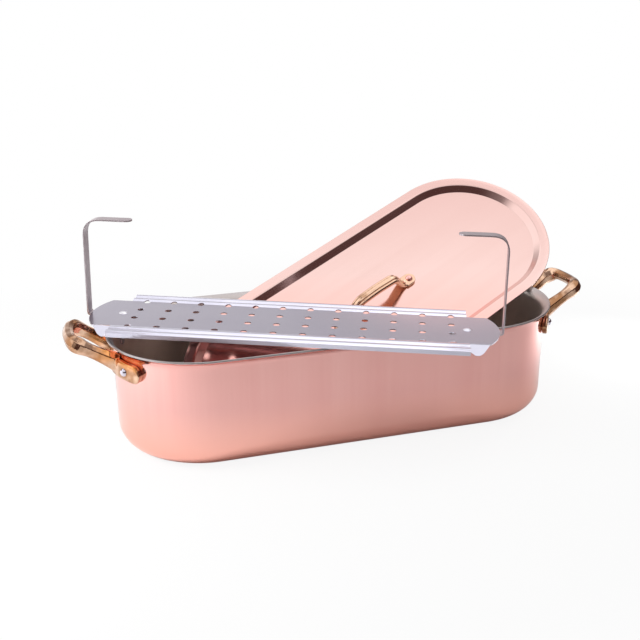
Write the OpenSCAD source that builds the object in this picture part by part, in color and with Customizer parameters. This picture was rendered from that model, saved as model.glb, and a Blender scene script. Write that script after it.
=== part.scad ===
// Copper fish kettle with its lid leaning in the pan and its lifting rack lying across the rim.
// Millimetres. X runs along the pan, Z is up, and the origin is the middle of the flat base.

/* [Pan] */
// Length of the pan over its walls
kettle_length = 500; // [420:5:600]
// Width of the pan over its walls
kettle_width = 194; // [170:2:230]
// Height from the base to the top of the rim
kettle_height = 125; // [105:1:150]
// Thickness of the copper sheet
copper_t = 1.6; // [1:0.1:2.4]
// Thickness of the bonded lining
lining_t = 0.4; // [0.2:0.1:0.8]
// Outside radius of the bottom edge
base_r = 24; // [14:1:32]
// How far the rim flares out past the wall
flare_out = 6.7; // [4:0.1:9]
// Height over which the rim flares
flare_h = 10; // [8:0.5:14]

/* [End handles] */
// Depth of the middle of the handle pads below the rim
pad_depth = 23; // [22:1:45]
// Height of a pad
pad_h = 20; // [16:1:22]
// Thickness of a pad
pad_t = 6.5; // [5:0.5:8]
// Angle round the end wall where a pad begins beside its leg
pad_start = 12; // [8:1:14]
// Angle round the end wall where the pad's round end is centred
pad_end = 35; // [33:1:46]
// Angle round the end wall of the rivet
pad_rivet_angle = 28; // [24:1:32]
// Half of the distance between the two legs where they leave the pads
root_spread = 26; // [24:1:30]
// Height of the legs' roots above the middle of the pads
root_h = 4; // [0:0.5:5]
// Half of the distance between the two corners of the grip
leg_spread = 30; // [26:1:34]
// Distance from the end wall to the grip
grip_reach = 41; // [34:1:50]
// Height of the grip above the middle of the pads
grip_h = 31.5; // [24:0.5:38]
// How far the grip bows out at its middle
grip_bow = 4; // [0:0.5:8]
// Thickness of the bar at the waist of a leg
bar_t = 11; // [8:0.5:12]
// Extra thickness at the knuckles
knuckle_t = 3; // [0:0.5:6]
// Gap left between a casting and the sheet it is riveted to
seat_gap = 0.1; // [0.05:0.05:0.3]

/* [Rivets] */
// Shank diameter of the handle rivets
rivet_d = 5; // [4:0.5:6]
// Head diameter of the handle rivets
rivet_head_d = 9; // [7:0.5:11]
// Height of a domed rivet head
rivet_head_h = 3.2; // [2:0.2:4]
// Thickness of a flat rivet head
rivet_tail_h = 1.2; // [0.8:0.1:2]
// Diametral room of a rivet in its hole
rivet_room = 0.1; // [0.05:0.05:0.3]

/* [Lid] */
// How far the lid reaches past the rim all round
lid_overhang = 1.4; // [0.5:0.1:4]
// Width of the flat flange round the lid
lid_flange = 9.8; // [6:0.2:16]
// Depth of the sunk panel
lid_drop = 7.5; // [5:0.5:10]
// Slope of the step between the flange and the panel
lid_step_angle = 60; // [45:1:75]
// Radius at the top of the step
lid_step_top_r = 4; // [3:0.5:6]
// Radius at the foot of the step
lid_step_foot_r = 1.5; // [1:0.5:3]

/* [Lid handle] */
// Distance between the two rivets of the lid handle
lid_rivet_span = 110; // [96:2:130]
// Width of the handle's feet
lid_foot_w = 16; // [14:1:22]
// Thickness of the handle's feet
lid_foot_t = 4; // [3:0.5:6]
// Distance between the corners of the bar
lid_bar_span = 56; // [44:2:66]
// Height of the middle of the bar above the panel
lid_bar_h = 32; // [28:1:45]
// Width of the bar
lid_bar_w = 13; // [10:1:18]
// Thickness of the bar at its ridge
lid_bar_t = 8; // [6:0.5:10]

/* [How the lid leans] */
// Place on the lid's round end that stands on the base, as an angle from the lid's length
lid_toe_angle = 61.2; // [52:0.1:72]
// Place on the end rim where the lid's front edge rests, as an angle round the end
lid_rest_angle = 7.1; // [4:0.1:14]
// Place along the pan where the lid's end stands on the base
lid_toe_x = -77; // [-95:1:-65]
// Distance from the front wall to where the lid's end stands
lid_toe_gap = 10; // [8:0.1:20]
// Room between pieces that rest on each other
rest_gap = 0.4; // [0.2:0.1:1]

/* [Rack] */
// Length of the rack's plate over its round ends
rack_length = 443.5; // [360:0.5:460]
// Width of the flat plate between its folds
rack_plate_w = 79.6; // [70:0.2:90]
// Radius of the round ends of the plate
rack_end_r = 74; // [60:1:120]
// Thickness of the rack's sheet
rack_t = 1; // [0.6:0.1:1.4]
// Width of each side flange
rack_flange = 23; // [18:1:28]
// Height of the two ribs pressed along each flange
rack_rib_h = 1.5; // [0.5:0.1:2.5]
// Depth of the lip turned down along each flange
rack_lip = 4.6; // [3:0.2:7]
// Distance from the end of the plate to the slits that part the flanges from the feet
slit_inset = 33.5; // [32:0.5:48]
// Length of a foot from its fold
foot_length = 12.6; // [8:0.2:16]
// Angle by which a foot is bent down
foot_bend = 58; // [45:1:80]
// Diameter of the drain holes
hole_d = 7.5; // [5:0.5:10]
// Spacing of the drain holes along the plate
hole_pitch_x = 31.1; // [26:0.1:32]
// Spacing of the drain holes across the plate
hole_pitch_y = 25.6; // [22:0.1:27]
// Number of drain holes along the plate
hole_columns = 12; // [8:2:12]
// Number of drain holes across the plate
hole_rows = 4; // [2:1:4]

/* [Rack straps] */
// Distance from the end of the plate out to the strap's upright
strap_out = 2.5; // [2:0.5:12]
// Height of the grips above the plate
strap_h = 104; // [80:1:115]
// How far an upright leans in at its top
strap_lean = 1.5; // [0:0.5:4]
// Length of a grip from the upright to its tip
strap_grip = 51; // [40:1:70]
// Width of the strap
strap_w = 13; // [10:1:18]
// Thickness of the strap
strap_t = 1.5; // [1:0.1:2.5]
// Length over which the strap turns into its grip
strap_bend = 17; // [4:1:18]
// Length over which the strap turns up at the end of the plate
strap_foot_bend = 2.5; // [1:0.5:3]
// Distance from the strap's upright back to its rivet
strap_rivet_inset = 37; // [32:1:60]
// Length of strap under the plate past the rivet
strap_tail = 10; // [8:1:16]
// Shank diameter of the strap rivets
strap_rivet_d = 4; // [3:0.5:5]
// Height of the strap rivets' low domes
strap_rivet_head_h = 1.5; // [1:0.1:2.5]

/* [How the rack lies] */
// Turn of the rack's length, seen from above
rack_turn = -22.6; // [-26:0.2:-18]
// Distance from the left end wall to the rack's middle
rack_from_end = 189.5; // [186:0.5:194]
// Distance from the front wall to the rack's middle
rack_from_front = 63; // [59:0.5:67]

/* [Hidden] */

copper = "#d99a8c";
brass = "#c99a5b";
steel = "#b4b2bc";
rounds = 96;
arc_steps = 10;

// Both oval outlines, pan and lid, have the same straight stretch between their round ends
straight = kettle_length - kettle_width;
wall_r = kettle_width/2;
sheet_t = copper_t + lining_t;
flare_angle = 2*atan(flare_out/flare_h);
flare_r = flare_h/sin(flare_angle);
flare_z = kettle_height - (flare_r + sheet_t)*sin(flare_angle);
rim_r = wall_r + flare_out;
rim_top_r = wall_r + flare_r - (flare_r + sheet_t)*cos(flare_angle);
lid_r = rim_r + lid_overhang;

function unit(v) = v/norm(v);
function flip(list) = [for (i = [len(list) - 1:-1:0]) list[i]];

// Section of the pan wall at a depth k inside its outer face: base, bottom edge, wall and flare
function wall_line(k) = concat(
    [[0, k]],
    [for (i = [0:arc_steps]) let (a = 90*i/arc_steps)
        [wall_r - base_r + (base_r - k)*sin(a), base_r - (base_r - k)*cos(a)]],
    [for (i = [0:arc_steps]) let (a = flare_angle*i/arc_steps)
        [wall_r + flare_r - (flare_r + k)*cos(a), flare_z + (flare_r + k)*sin(a)]]
);

// Section of the lid at a depth k below its top face: panel, step and flange
step_sum = lid_step_top_r + lid_step_foot_r;
step_slope = (lid_drop - step_sum*(1 - cos(lid_step_angle)))/sin(lid_step_angle);
step_top_x = lid_r - lid_flange;
step_foot_x = step_top_x - step_sum*sin(lid_step_angle) - step_slope*cos(lid_step_angle);
function lid_line(k) = concat(
    [[0, -lid_drop - k]],
    [for (i = [0:arc_steps]) let (a = lid_step_angle*i/arc_steps)
        [step_foot_x + (lid_step_foot_r + k)*sin(a),
         -lid_drop + lid_step_foot_r - (lid_step_foot_r + k)*cos(a)]],
    [for (i = [arc_steps:-1:0]) let (a = lid_step_angle*i/arc_steps)
        [step_top_x - (lid_step_top_r - k)*sin(a), -lid_step_top_r + (lid_step_top_r - k)*cos(a)]],
    [[lid_r, -k]]
);

// A half section carried round both ends and along both sides of the oval
module oval_sheet(half) {
    for (turn = [0, 180])
        rotate(turn)
            translate([straight/2, 0, 0])
                rotate_extrude(angle = 180, start = -90, $fn = rounds)
                    polygon(half);
    rotate([90, 0, 90])
        linear_extrude(straight, center = true) {
            polygon(half);
            mirror([1, 0])
                polygon(half);
        }
}

// A polyline with its inner corners eased over the distances d, one for each corner
function eased(p, d) = concat(
    [p[0]],
    [for (i = [1:len(p) - 2], j = [0:arc_steps])
        let (
            f = j/arc_steps,
            a = p[i] + d[i - 1]*unit(p[i - 1] - p[i]),
            b = p[i] + d[i - 1]*unit(p[i + 1] - p[i])
        )
            (1 - f)^2*a + 2*f*(1 - f)*p[i] + f^2*b],
    [p[len(p) - 1]]
);

// A closed skin through rings of equally many points, with a fan of triangles at each end
function middle(ring) = [for (q = ring) 1]*ring/len(ring);
module skin(rings) {
    n = len(rings[0]);
    last = len(rings) - 1;
    near = n*len(rings);
    far = near + 1;
    polyhedron(
        concat([for (ring = rings) each ring], [middle(rings[0]), middle(rings[last])]),
        [
            for (i = [0:n - 1]) [i, (i + 1) % n, near],
            for (r = [0:last - 1], i = [0:n - 1]) let (j = (i + 1) % n)
                each [[r*n + i, (r + 1)*n + i, r*n + j], [r*n + j, (r + 1)*n + i, (r + 1)*n + j]],
            for (i = [0:n - 1]) [last*n + (i + 1) % n, last*n + i, far]
        ]
    );
}

// Rings of a bar along a path: each ring lies across the path, with its depth along up
function bar_rings(path, up, sections) = [for (i = [0:len(path) - 1])
    let (
        along = unit(path[min(i + 1, len(path) - 1)] - path[max(i - 1, 0)]),
        side = unit(cross(up, along)),
        rise = cross(along, side)
    )
        [for (q = sections[i]) path[i] + q.x*side + q.y*rise]];

// Rivet along Z with its domed head standing on z = 0 and its flat head, if any, below the grip
module rivet(d, head_d, head_h, grip, tail_h) {
    dome_r = (head_d^2/4 + head_h^2)/(2*head_h);
    intersection() {
        translate([0, 0, head_h - dome_r])
            sphere(dome_r, $fn = rounds);
        cylinder(h = head_h, d = head_d, $fn = rounds);
    }
    translate([0, 0, -grip - tail_h/2])
        cylinder(h = grip + tail_h/2 + head_h/2, d = d, $fn = rounds);
    if (tail_h > 0)
        translate([0, 0, -grip - tail_h])
            cylinder(h = tail_h, d = head_d, $fn = rounds);
}

// Pan
module kettle_shell() {
    color(copper)
        difference() {
            oval_sheet(concat(wall_line(0), flip(wall_line(copper_t))));
            wall_rivet_holes();
        }
}

module kettle_lining() {
    color(steel)
        difference() {
            oval_sheet(concat(wall_line(copper_t), flip(wall_line(sheet_t))));
            wall_rivet_holes();
        }
}

// End handles
pad_z = kettle_height - pad_depth;
pad_r = wall_r + pad_t + seat_gap;
grip_z = pad_z + grip_h;
grip_x = wall_r + grip_reach;
root_share = 0.35;
root_depth = root_share*pad_t;
leg_root_x = sqrt(wall_r^2 - root_spread^2) + root_depth;
bar_sides = 12;
pad_rivet_grip = pad_r + seat_gap - sqrt((wall_r - sheet_t)^2 - rivet_head_d^2/4);

// Centre line of one leg and half of the grip about the axis of the end wall, from the pad outward
leg_root = [leg_root_x, -root_spread, pad_z + root_h];
leg_top = [grip_x, -leg_spread, grip_z];
corner_share = 0.45;
corner_ease = corner_share*leg_spread;
leg_steps = 6;
grip_steps = 3;
half_loop = concat(
    [for (i = [0:leg_steps - 1])
        leg_root + i/leg_steps*(leg_top - leg_root - corner_ease*unit(leg_top - leg_root))],
    [for (i = [0:arc_steps]) let (f = i/arc_steps)
        leg_top + (1 - f)^2*corner_ease*unit(leg_root - leg_top) + f^2*[0, corner_ease, 0]],
    [for (i = [1:grip_steps]) leg_top + [0, corner_ease + i/grip_steps*(leg_spread - corner_ease), 0]]
);
function bowed(p) = p + [p.z > grip_z - bar_t/2 ? grip_bow*(1 - (p.y/leg_spread)^2) : 0, 0, 0];
loop_line = [
    for (p = half_loop) bowed(p),
    for (i = [len(half_loop) - 2:-1:0]) bowed([half_loop[i].x, -half_loop[i].y, half_loop[i].z])
];
loop_up = unit([root_h - grip_h, 0, grip_x - leg_root_x]);

// Thickness of the bar: full at the pads, waisted along the legs, swelling at the knuckles,
// with the swellings' places as shares of the leg's length and of its distance from the middle
taper_share = 0.45;
knuckle_out = 0.95;
knuckle_run = 0.2;
knuckle_turn = 0.3;
function bar_size(p) =
    let (
        out = (p.x - leg_root_x)/(grip_x - leg_root_x),
        across = abs(p.y)/leg_spread,
        swell = exp(-((out - knuckle_out)/knuckle_run)^2 - ((1 - across)/knuckle_turn)^2)
    )
        bar_t + pad_t*max(0, 1 - out/taper_share)^2 + knuckle_t*swell;

// The bar is a little deeper than it is wide
bar_oval = [0.9, 1.1];
function bar_ring(p) = [for (i = [0:bar_sides - 1])
    let (a = 360*i/bar_sides)
        bar_size(p)/2*[bar_oval.x*cos(a), bar_oval.y*sin(a)]];

// The first and last rings are laid on a round inside the pads, so that the bar ends within them
function on_round(p) =
    let (scale = (wall_r + root_depth)/norm([p.x, p.y]))
        [scale*p.x, scale*p.y, p.z];

module handle_loop() {
    rings = bar_rings(loop_line, loop_up, [for (p = loop_line) bar_ring(p)]);
    last = len(rings) - 1;
    skin([for (i = [0:last]) [for (q = rings[i]) i == 0 || i == last ? on_round(q) : q]]);
}

// One pad: a strip with a round end, bent round the end wall
pad_mid = (pad_start + pad_end)/2;
pad_half = wall_r*sin((pad_end - pad_start)/2);
module handle_pad() {
    intersection() {
        translate([0, 0, pad_z - pad_h])
            difference() {
                cylinder(h = 2*pad_h, r = pad_r, $fn = rounds);
                translate([0, 0, -pad_h])
                    cylinder(h = 4*pad_h, r = wall_r + seat_gap, $fn = rounds);
            }
        rotate(pad_mid)
            translate([0, 0, pad_z])
                rotate([90, 0, 90])
                    linear_extrude(2*pad_r) {
                        square([2*pad_half, pad_h], center = true);
                        translate([pad_half, 0])
                            circle(d = pad_h, $fn = rounds);
                    }
    }
}

module handle_rivet_place(side) {
    rotate(side*pad_rivet_angle)
        translate([pad_r, 0, pad_z])
            rotate([0, 90, 0])
                children();
}

// The right-hand casting, on the axis of its end wall
module end_handle() {
    color(brass)
        difference() {
            union() {
                handle_loop();
                handle_pad();
                mirror([0, 1, 0])
                    handle_pad();
            }
            for (side = [-1, 1])
                handle_rivet_place(side)
                    cylinder(h = pad_r, d = rivet_d + rivet_room, center = true, $fn = rounds);
        }
}

// Turns what belongs to one end of the pan to its place, 0 for the right end and 180 for the left
module at_end(turn) {
    rotate(turn)
        translate([straight/2, 0, 0])
            children();
}

module wall_rivet_holes() {
    for (turn = [0, 180], side = [-1, 1])
        at_end(turn)
            handle_rivet_place(side)
                cylinder(h = pad_r, d = rivet_d + rivet_room, center = true, $fn = rounds);
}

module handle_rivet(turn, side) {
    color(steel)
        at_end(turn)
            handle_rivet_place(side)
                rivet(rivet_d, rivet_head_d, rivet_head_h, pad_rivet_grip, rivet_tail_h);
}

module right_handle() at_end(0) end_handle();
module left_handle() at_end(180) end_handle();
module right_front_rivet() handle_rivet(0, -1);
module right_rear_rivet() handle_rivet(0, 1);
module left_front_rivet() handle_rivet(180, 1);
module left_rear_rivet() handle_rivet(180, -1);

// How the lid leans: its end stands on the bottom edge of the pan, its front edge lies on the end
// rim, and the foot of its step lies on the flare of the rear rim, which a search by halves finds
inner_r = wall_r - sheet_t;
base_inner_r = base_r - sheet_t;
function base_height(inset) = base_r - sqrt(base_inner_r^2 - max(0, base_inner_r - inset)^2);
function inset_at(p) = inner_r - norm([max(0, abs(p.x) - straight/2), p.y]);
rest_z = kettle_height + rest_gap;
toe = [lid_toe_x, lid_toe_gap - inner_r, base_height(lid_toe_gap) + rest_gap];
end_rest = [straight/2 + rim_top_r*cos(lid_rest_angle), rim_top_r*sin(lid_rest_angle), rest_z];
rest_span = norm(end_rest - toe);
rest_line = (end_rest - toe)/rest_span;
rest_side = unit(cross([0, 0, 1], rest_line));
toe_yaw = asin(lid_r*(1 - sin(lid_toe_angle))/rest_span);
function lean_up(a) = cos(a)*cross(rest_line, rest_side) - sin(a)*rest_side;
function lean_along(up) = cos(toe_yaw)*rest_line + sin(toe_yaw)*cross(up, rest_line);
function lean_middle(up) =
    let (
        along = lean_along(up),
        across = cross(up, along)
    )
        toe + (straight/2 + lid_r*cos(lid_toe_angle))*along + lid_r*sin(lid_toe_angle)*across + sheet_t*up;

// Room between the round foot of the step and the round of the rear flare at a lean
function step_room(a) =
    let (
        up = lean_up(a),
        along = lean_along(up),
        foot = lean_middle(up) + step_foot_x*cross(up, along) + (lid_step_foot_r - lid_drop)*up
    )
        (foot - [0, wall_r + flare_r, flare_z])*unit([0, -along.z, along.y])
            - flare_r - lid_step_foot_r - 2*sheet_t;
function settle(low, high, tries) =
    let (a = (low + high)/2)
        tries == 0 ? a :
        step_room(a) < rest_gap ? settle(a, high, tries - 1) : settle(low, a, tries - 1);

lean_least = 5;
lean_most = 60;
halvings = 24;
lid_up = lean_up(settle(lean_least, lean_most, halvings));
lid_along = lean_along(lid_up);
lid_across = cross(lid_up, lid_along);
lid_seat = lean_middle(lid_up);

// The lid is lifted by whatever its lower end lacks of its room above the base
lower_edge = [for (a = [180:270])
    lid_seat - sheet_t*lid_up + (lid_r*cos(a) - straight/2)*lid_along + lid_r*sin(a)*lid_across];
lid_room = min([for (p = lower_edge) p.z - base_height(inset_at(p))]);
lid_middle = lid_seat + [0, 0, max(0, rest_gap - lid_room)];

module lean_lid() {
    multmatrix([for (i = [0:2]) [lid_along[i], lid_across[i], lid_up[i], lid_middle[i]]])
        children();
}

module lid_rivet_place(side) {
    translate([side*lid_rivet_span/2, 0, lid_foot_t - lid_drop])
        children();
}

module lid_rivet_holes() {
    for (side = [-1, 1])
        lid_rivet_place(side)
            cylinder(h = 4*lid_drop, d = rivet_d + rivet_room, center = true, $fn = rounds);
}

module lid_panel() {
    color(copper)
        lean_lid()
            difference() {
                oval_sheet(concat(lid_line(0), flip(lid_line(copper_t))));
                lid_rivet_holes();
            }
}

module lid_lining() {
    color(steel)
        lean_lid()
            difference() {
                oval_sheet(concat(lid_line(copper_t), flip(lid_line(sheet_t))));
                lid_rivet_holes();
            }
}

// Lid handle: a ridged bar bridging two flat feet
lid_foot_inner = lid_rivet_span/2 - lid_foot_w/2;
lid_bar_ease = 0.9*lid_bar_t;
lid_bar_line = eased([
    [-lid_rivet_span/2 + lid_foot_w/4, 0, lid_foot_t/2],
    [-lid_foot_inner + lid_bar_t/2, 0, lid_foot_t/2],
    [-lid_bar_span/2, 0, lid_bar_h - lid_bar_t/4],
    [0, 0, lid_bar_h],
    [lid_bar_span/2, 0, lid_bar_h - lid_bar_t/4],
    [lid_foot_inner - lid_bar_t/2, 0, lid_foot_t/2],
    [lid_rivet_span/2 - lid_foot_w/4, 0, lid_foot_t/2]
], [for (i = [1:5]) lid_bar_ease]);

// Section of the bar: a flat underside, bevelled sides and a ridge on top, thinner at the feet
function lid_bar_section(p) =
    let (
        up = min(1, p.z/(lid_bar_h/2)),
        w = lid_bar_w/2,
        t = lid_foot_t/2 + (lid_bar_t - lid_foot_t)/2*up
    )
        [[-w, -t/2], [-w*0.8, -t], [w*0.8, -t], [w, -t/2], [w, t/3], [w*0.8, t*0.7], [0, t],
         [-w*0.8, t*0.7], [-w, t/3]];

module lid_handle() {
    color(brass)
        lean_lid()
            difference() {
                translate([0, 0, seat_gap - lid_drop]) {
                    skin(bar_rings(lid_bar_line, [0, 0, 1], [for (p = lid_bar_line) lid_bar_section(p)]));
                    for (side = [-1, 1])
                        translate([side*lid_rivet_span/2, 0, 0]) {
                            cylinder(h = lid_foot_t, d = lid_foot_w, $fn = rounds);
                            translate([-side*lid_foot_w/4, 0, lid_foot_t/2])
                                cube([lid_foot_w/2, lid_foot_w, lid_foot_t], center = true);
                        }
                }
                translate([0, 0, seat_gap - lid_drop - lid_bar_t/2])
                    cube([lid_rivet_span, lid_foot_w, lid_bar_t], center = true);
                lid_rivet_holes();
            }
}

lid_rivet_grip = lid_foot_t + sheet_t + 2*seat_gap;
module lid_rivet(side) {
    color(copper)
        lean_lid()
            lid_rivet_place(side)
                translate([0, 0, seat_gap])
                    rivet(rivet_d, rivet_head_d, rivet_head_h, lid_rivet_grip, rivet_tail_h);
}

module lid_left_rivet() lid_rivet(-1);
module lid_right_rivet() lid_rivet(1);

// How the rack lies: its left feet on the end rim and the tail of its right strap on the front rim
rack_x = rack_from_end - kettle_length/2;
rack_y = rack_from_front - wall_r;
rack_slit = rack_length/2 - slit_inset;
strap_reach = rack_length/2 + strap_out;
strap_rivet_x = strap_reach - strap_rivet_inset;
fold_y = rack_plate_w/2;
edge_y = fold_y + rack_flange;
foot_h = foot_length*sin(foot_bend) + rack_t*cos(foot_bend);
tail_drop = rack_t + strap_t;
tail_cross = -(rim_top_r + rack_y)/sin(rack_turn);
rack_slope = (foot_h - tail_drop)/(tail_cross + rack_slit);
rack_z = rest_z + foot_h - rack_slope*rack_slit;

module lay_rack() {
    translate([rack_x, rack_y, rack_z])
        rotate([0, atan(rack_slope), rack_turn])
            children();
}

module strap_rivet_place(side) {
    translate([side*strap_rivet_x, 0, 0])
        children();
}

module strap_rivet_holes() {
    for (side = [-1, 1])
        strap_rivet_place(side)
            cylinder(h = 8*strap_t, d = strap_rivet_d + rivet_room, center = true, $fn = rounds);
}

// Half section of a flange: two pressed ribs and the turned-down lip
rib_steps = 16;
rib_line = [for (i = [0:rib_steps])
    [fold_y + rack_flange*i/rib_steps, rack_rib_h*abs(sin(360*i/rib_steps))]];
flange_section = concat(
    rib_line,
    [[edge_y, -rack_lip], [edge_y - rack_t, -rack_lip], [edge_y - rack_t, -rack_t]],
    [for (i = [rib_steps - 1:-1:0]) rib_line[i] - [0, rack_t]]
);

module rack_flange_strip() {
    rotate([90, 0, 90])
        linear_extrude(2*rack_slit, center = true)
            polygon(flange_section);
}

module rack_outline() {
    middle = rack_length - 2*rack_end_r;
    intersection() {
        square([rack_length, rack_plate_w], center = true);
        union() {
            square([middle, rack_plate_w], center = true);
            for (side = [-1, 1])
                translate([side*middle/2, 0])
                    circle(rack_end_r, $fn = 2*rounds);
        }
    }
}

// One corner tab, folded down from just inside the edge of the plate
slit_gap = rack_t/2;
corner_x = rack_length/2 - rack_end_r + sqrt(rack_end_r^2 - fold_y^2);
module foot_tab() {
    translate([0, fold_y - slit_gap, 0])
        rotate([-foot_bend, 0, 0])
            translate([0, 0, -rack_t])
                linear_extrude(rack_t)
                    polygon([
                        [rack_slit + slit_gap, 0],
                        [rack_slit + slit_gap, foot_length*0.7],
                        [rack_slit + foot_length*0.5, foot_length],
                        [rack_slit + foot_length*0.85, foot_length],
                        [rack_slit + foot_length*1.15, foot_length*0.8],
                        [corner_x - slit_gap, 0]
                    ]);
}

first_hole = -[(hole_columns - 1)*hole_pitch_x, (hole_rows - 1)*hole_pitch_y]/2;
module drain_holes() {
    for (i = [0:hole_columns - 1], j = [0:hole_rows - 1])
        translate(first_hole + [i*hole_pitch_x, j*hole_pitch_y])
            cylinder(h = 8*rack_t, d = hole_d, center = true, $fn = rounds);
}

module rack_plate() {
    color(steel)
        lay_rack()
            difference() {
                union() {
                    translate([0, 0, -rack_t])
                        linear_extrude(rack_t)
                            rack_outline();
                    for (flip_y = [0, 1], flip_x = [0, 1])
                        mirror([0, flip_y, 0])
                            mirror([flip_x, 0, 0])
                                foot_tab();
                    for (flip_y = [0, 1])
                        mirror([0, flip_y, 0])
                            rack_flange_strip();
                }
                drain_holes();
                strap_rivet_holes();
            }
}

// Side view of a strap, for the right-hand end: tail under the plate, upright and grip
tip_x = strap_reach - strap_lean - strap_grip;
strap_line = eased([
    [strap_rivet_x - strap_tail, -rack_t],
    [strap_reach, -rack_t],
    [strap_reach - strap_lean, strap_h],
    [tip_x, strap_h]
], [strap_foot_bend, strap_bend]);

// Normals of a polyline, turned to its left
function left_of(p, i) = let (d = unit(p[min(i + 1, len(p) - 1)] - p[max(i - 1, 0)])) [-d.y, d.x];
strap_section = concat(
    strap_line,
    flip([for (i = [0:len(strap_line) - 1]) strap_line[i] - strap_t*left_of(strap_line, i)])
);

module strap(side) {
    color(steel)
        lay_rack()
            mirror([side < 0 ? 1 : 0, 0, 0])
                difference() {
                    intersection() {
                        rotate([90, 0, 0])
                            linear_extrude(strap_w, center = true)
                                polygon(strap_section);
                        linear_extrude(4*strap_h, center = true) {
                            translate([tip_x + strap_w/2, 0])
                                circle(d = strap_w, $fn = rounds);
                            translate([tip_x + strap_w/2, -strap_w/2])
                                square([2*strap_grip, strap_w]);
                        }
                    }
                    strap_rivet_holes();
                }
}

module rack_left_strap() strap(-1);
module rack_right_strap() strap(1);

module rack_rivet(side) {
    color(steel)
        lay_rack()
            strap_rivet_place(side)
                rivet(strap_rivet_d, rivet_head_d, strap_rivet_head_h, rack_t + strap_t, 0);
}

module rack_left_rivet() rack_rivet(-1);
module rack_right_rivet() rack_rivet(1);

kettle_shell();
kettle_lining();
left_handle();
right_handle();
left_front_rivet();
left_rear_rivet();
right_front_rivet();
right_rear_rivet();
lid_panel();
lid_lining();
lid_handle();
lid_left_rivet();
lid_right_rivet();
rack_plate();
rack_left_strap();
rack_right_strap();
rack_left_rivet();
rack_right_rivet();
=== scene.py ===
# %% [markdown]
# # A copper fish kettle
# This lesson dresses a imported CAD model: a long oval copper pan, its lid leaning inside it, and the
# perforated rack that lies across the rim. Polished metal shows every facet in its reflections, so pan,
# lid, handles and their rivets are made again as smooth meshes. The rack is bent from flat sheet, so its
# five pieces keep their CAD meshes and only get better finishes.

# %% Frame
import math

import bmesh
import bpy
import numpy as np
from mathutils import Matrix, Vector


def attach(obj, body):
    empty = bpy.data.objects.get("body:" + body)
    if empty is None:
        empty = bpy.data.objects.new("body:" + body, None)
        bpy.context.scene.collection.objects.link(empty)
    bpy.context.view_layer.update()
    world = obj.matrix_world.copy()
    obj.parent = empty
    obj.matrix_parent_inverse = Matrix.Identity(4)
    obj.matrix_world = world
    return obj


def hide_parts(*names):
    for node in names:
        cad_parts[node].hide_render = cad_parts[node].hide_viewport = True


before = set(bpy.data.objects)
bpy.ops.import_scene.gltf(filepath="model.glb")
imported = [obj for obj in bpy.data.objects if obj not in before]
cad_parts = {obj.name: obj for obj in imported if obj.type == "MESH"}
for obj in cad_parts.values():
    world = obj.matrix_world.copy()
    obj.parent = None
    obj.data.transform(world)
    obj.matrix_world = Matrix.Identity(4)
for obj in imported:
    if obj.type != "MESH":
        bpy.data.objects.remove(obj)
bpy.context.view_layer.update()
MM = 0.001
UP = Vector((0, 0, 1))

# %% [markdown]
# ## Node maths
# A finish is easier to read when its maths looks like maths. A small class wraps an output socket, so
# that `0.2 + 0.1 * grain` adds the Math nodes by itself, and one method makes every other kind of node.

# %% Signals and finishes
MIX_FIRST, MIX_SECOND, MIX_COLOUR = 6, 7, 2  # the Mix node's sockets for colours
BUMP_STRENGTH = 0.5
WHITE = (1, 1, 1)


class Signal:
    """An output socket that can be added to, taken away and multiplied."""

    def __init__(self, finish, socket):
        self.finish = finish
        self.socket = socket

    def maths(self, operation, first, second):
        return self.finish.node("Math", {"operation": operation}, {0: first, 1: second})

    def __add__(self, other):
        return self.maths("ADD", self, other)

    def __sub__(self, other):
        return self.maths("SUBTRACT", self, other)

    def __rsub__(self, other):
        return self.maths("SUBTRACT", other, self)

    def __mul__(self, other):
        return self.maths("MULTIPLY", self, other)

    __radd__ = __add__
    __rmul__ = __mul__


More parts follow.
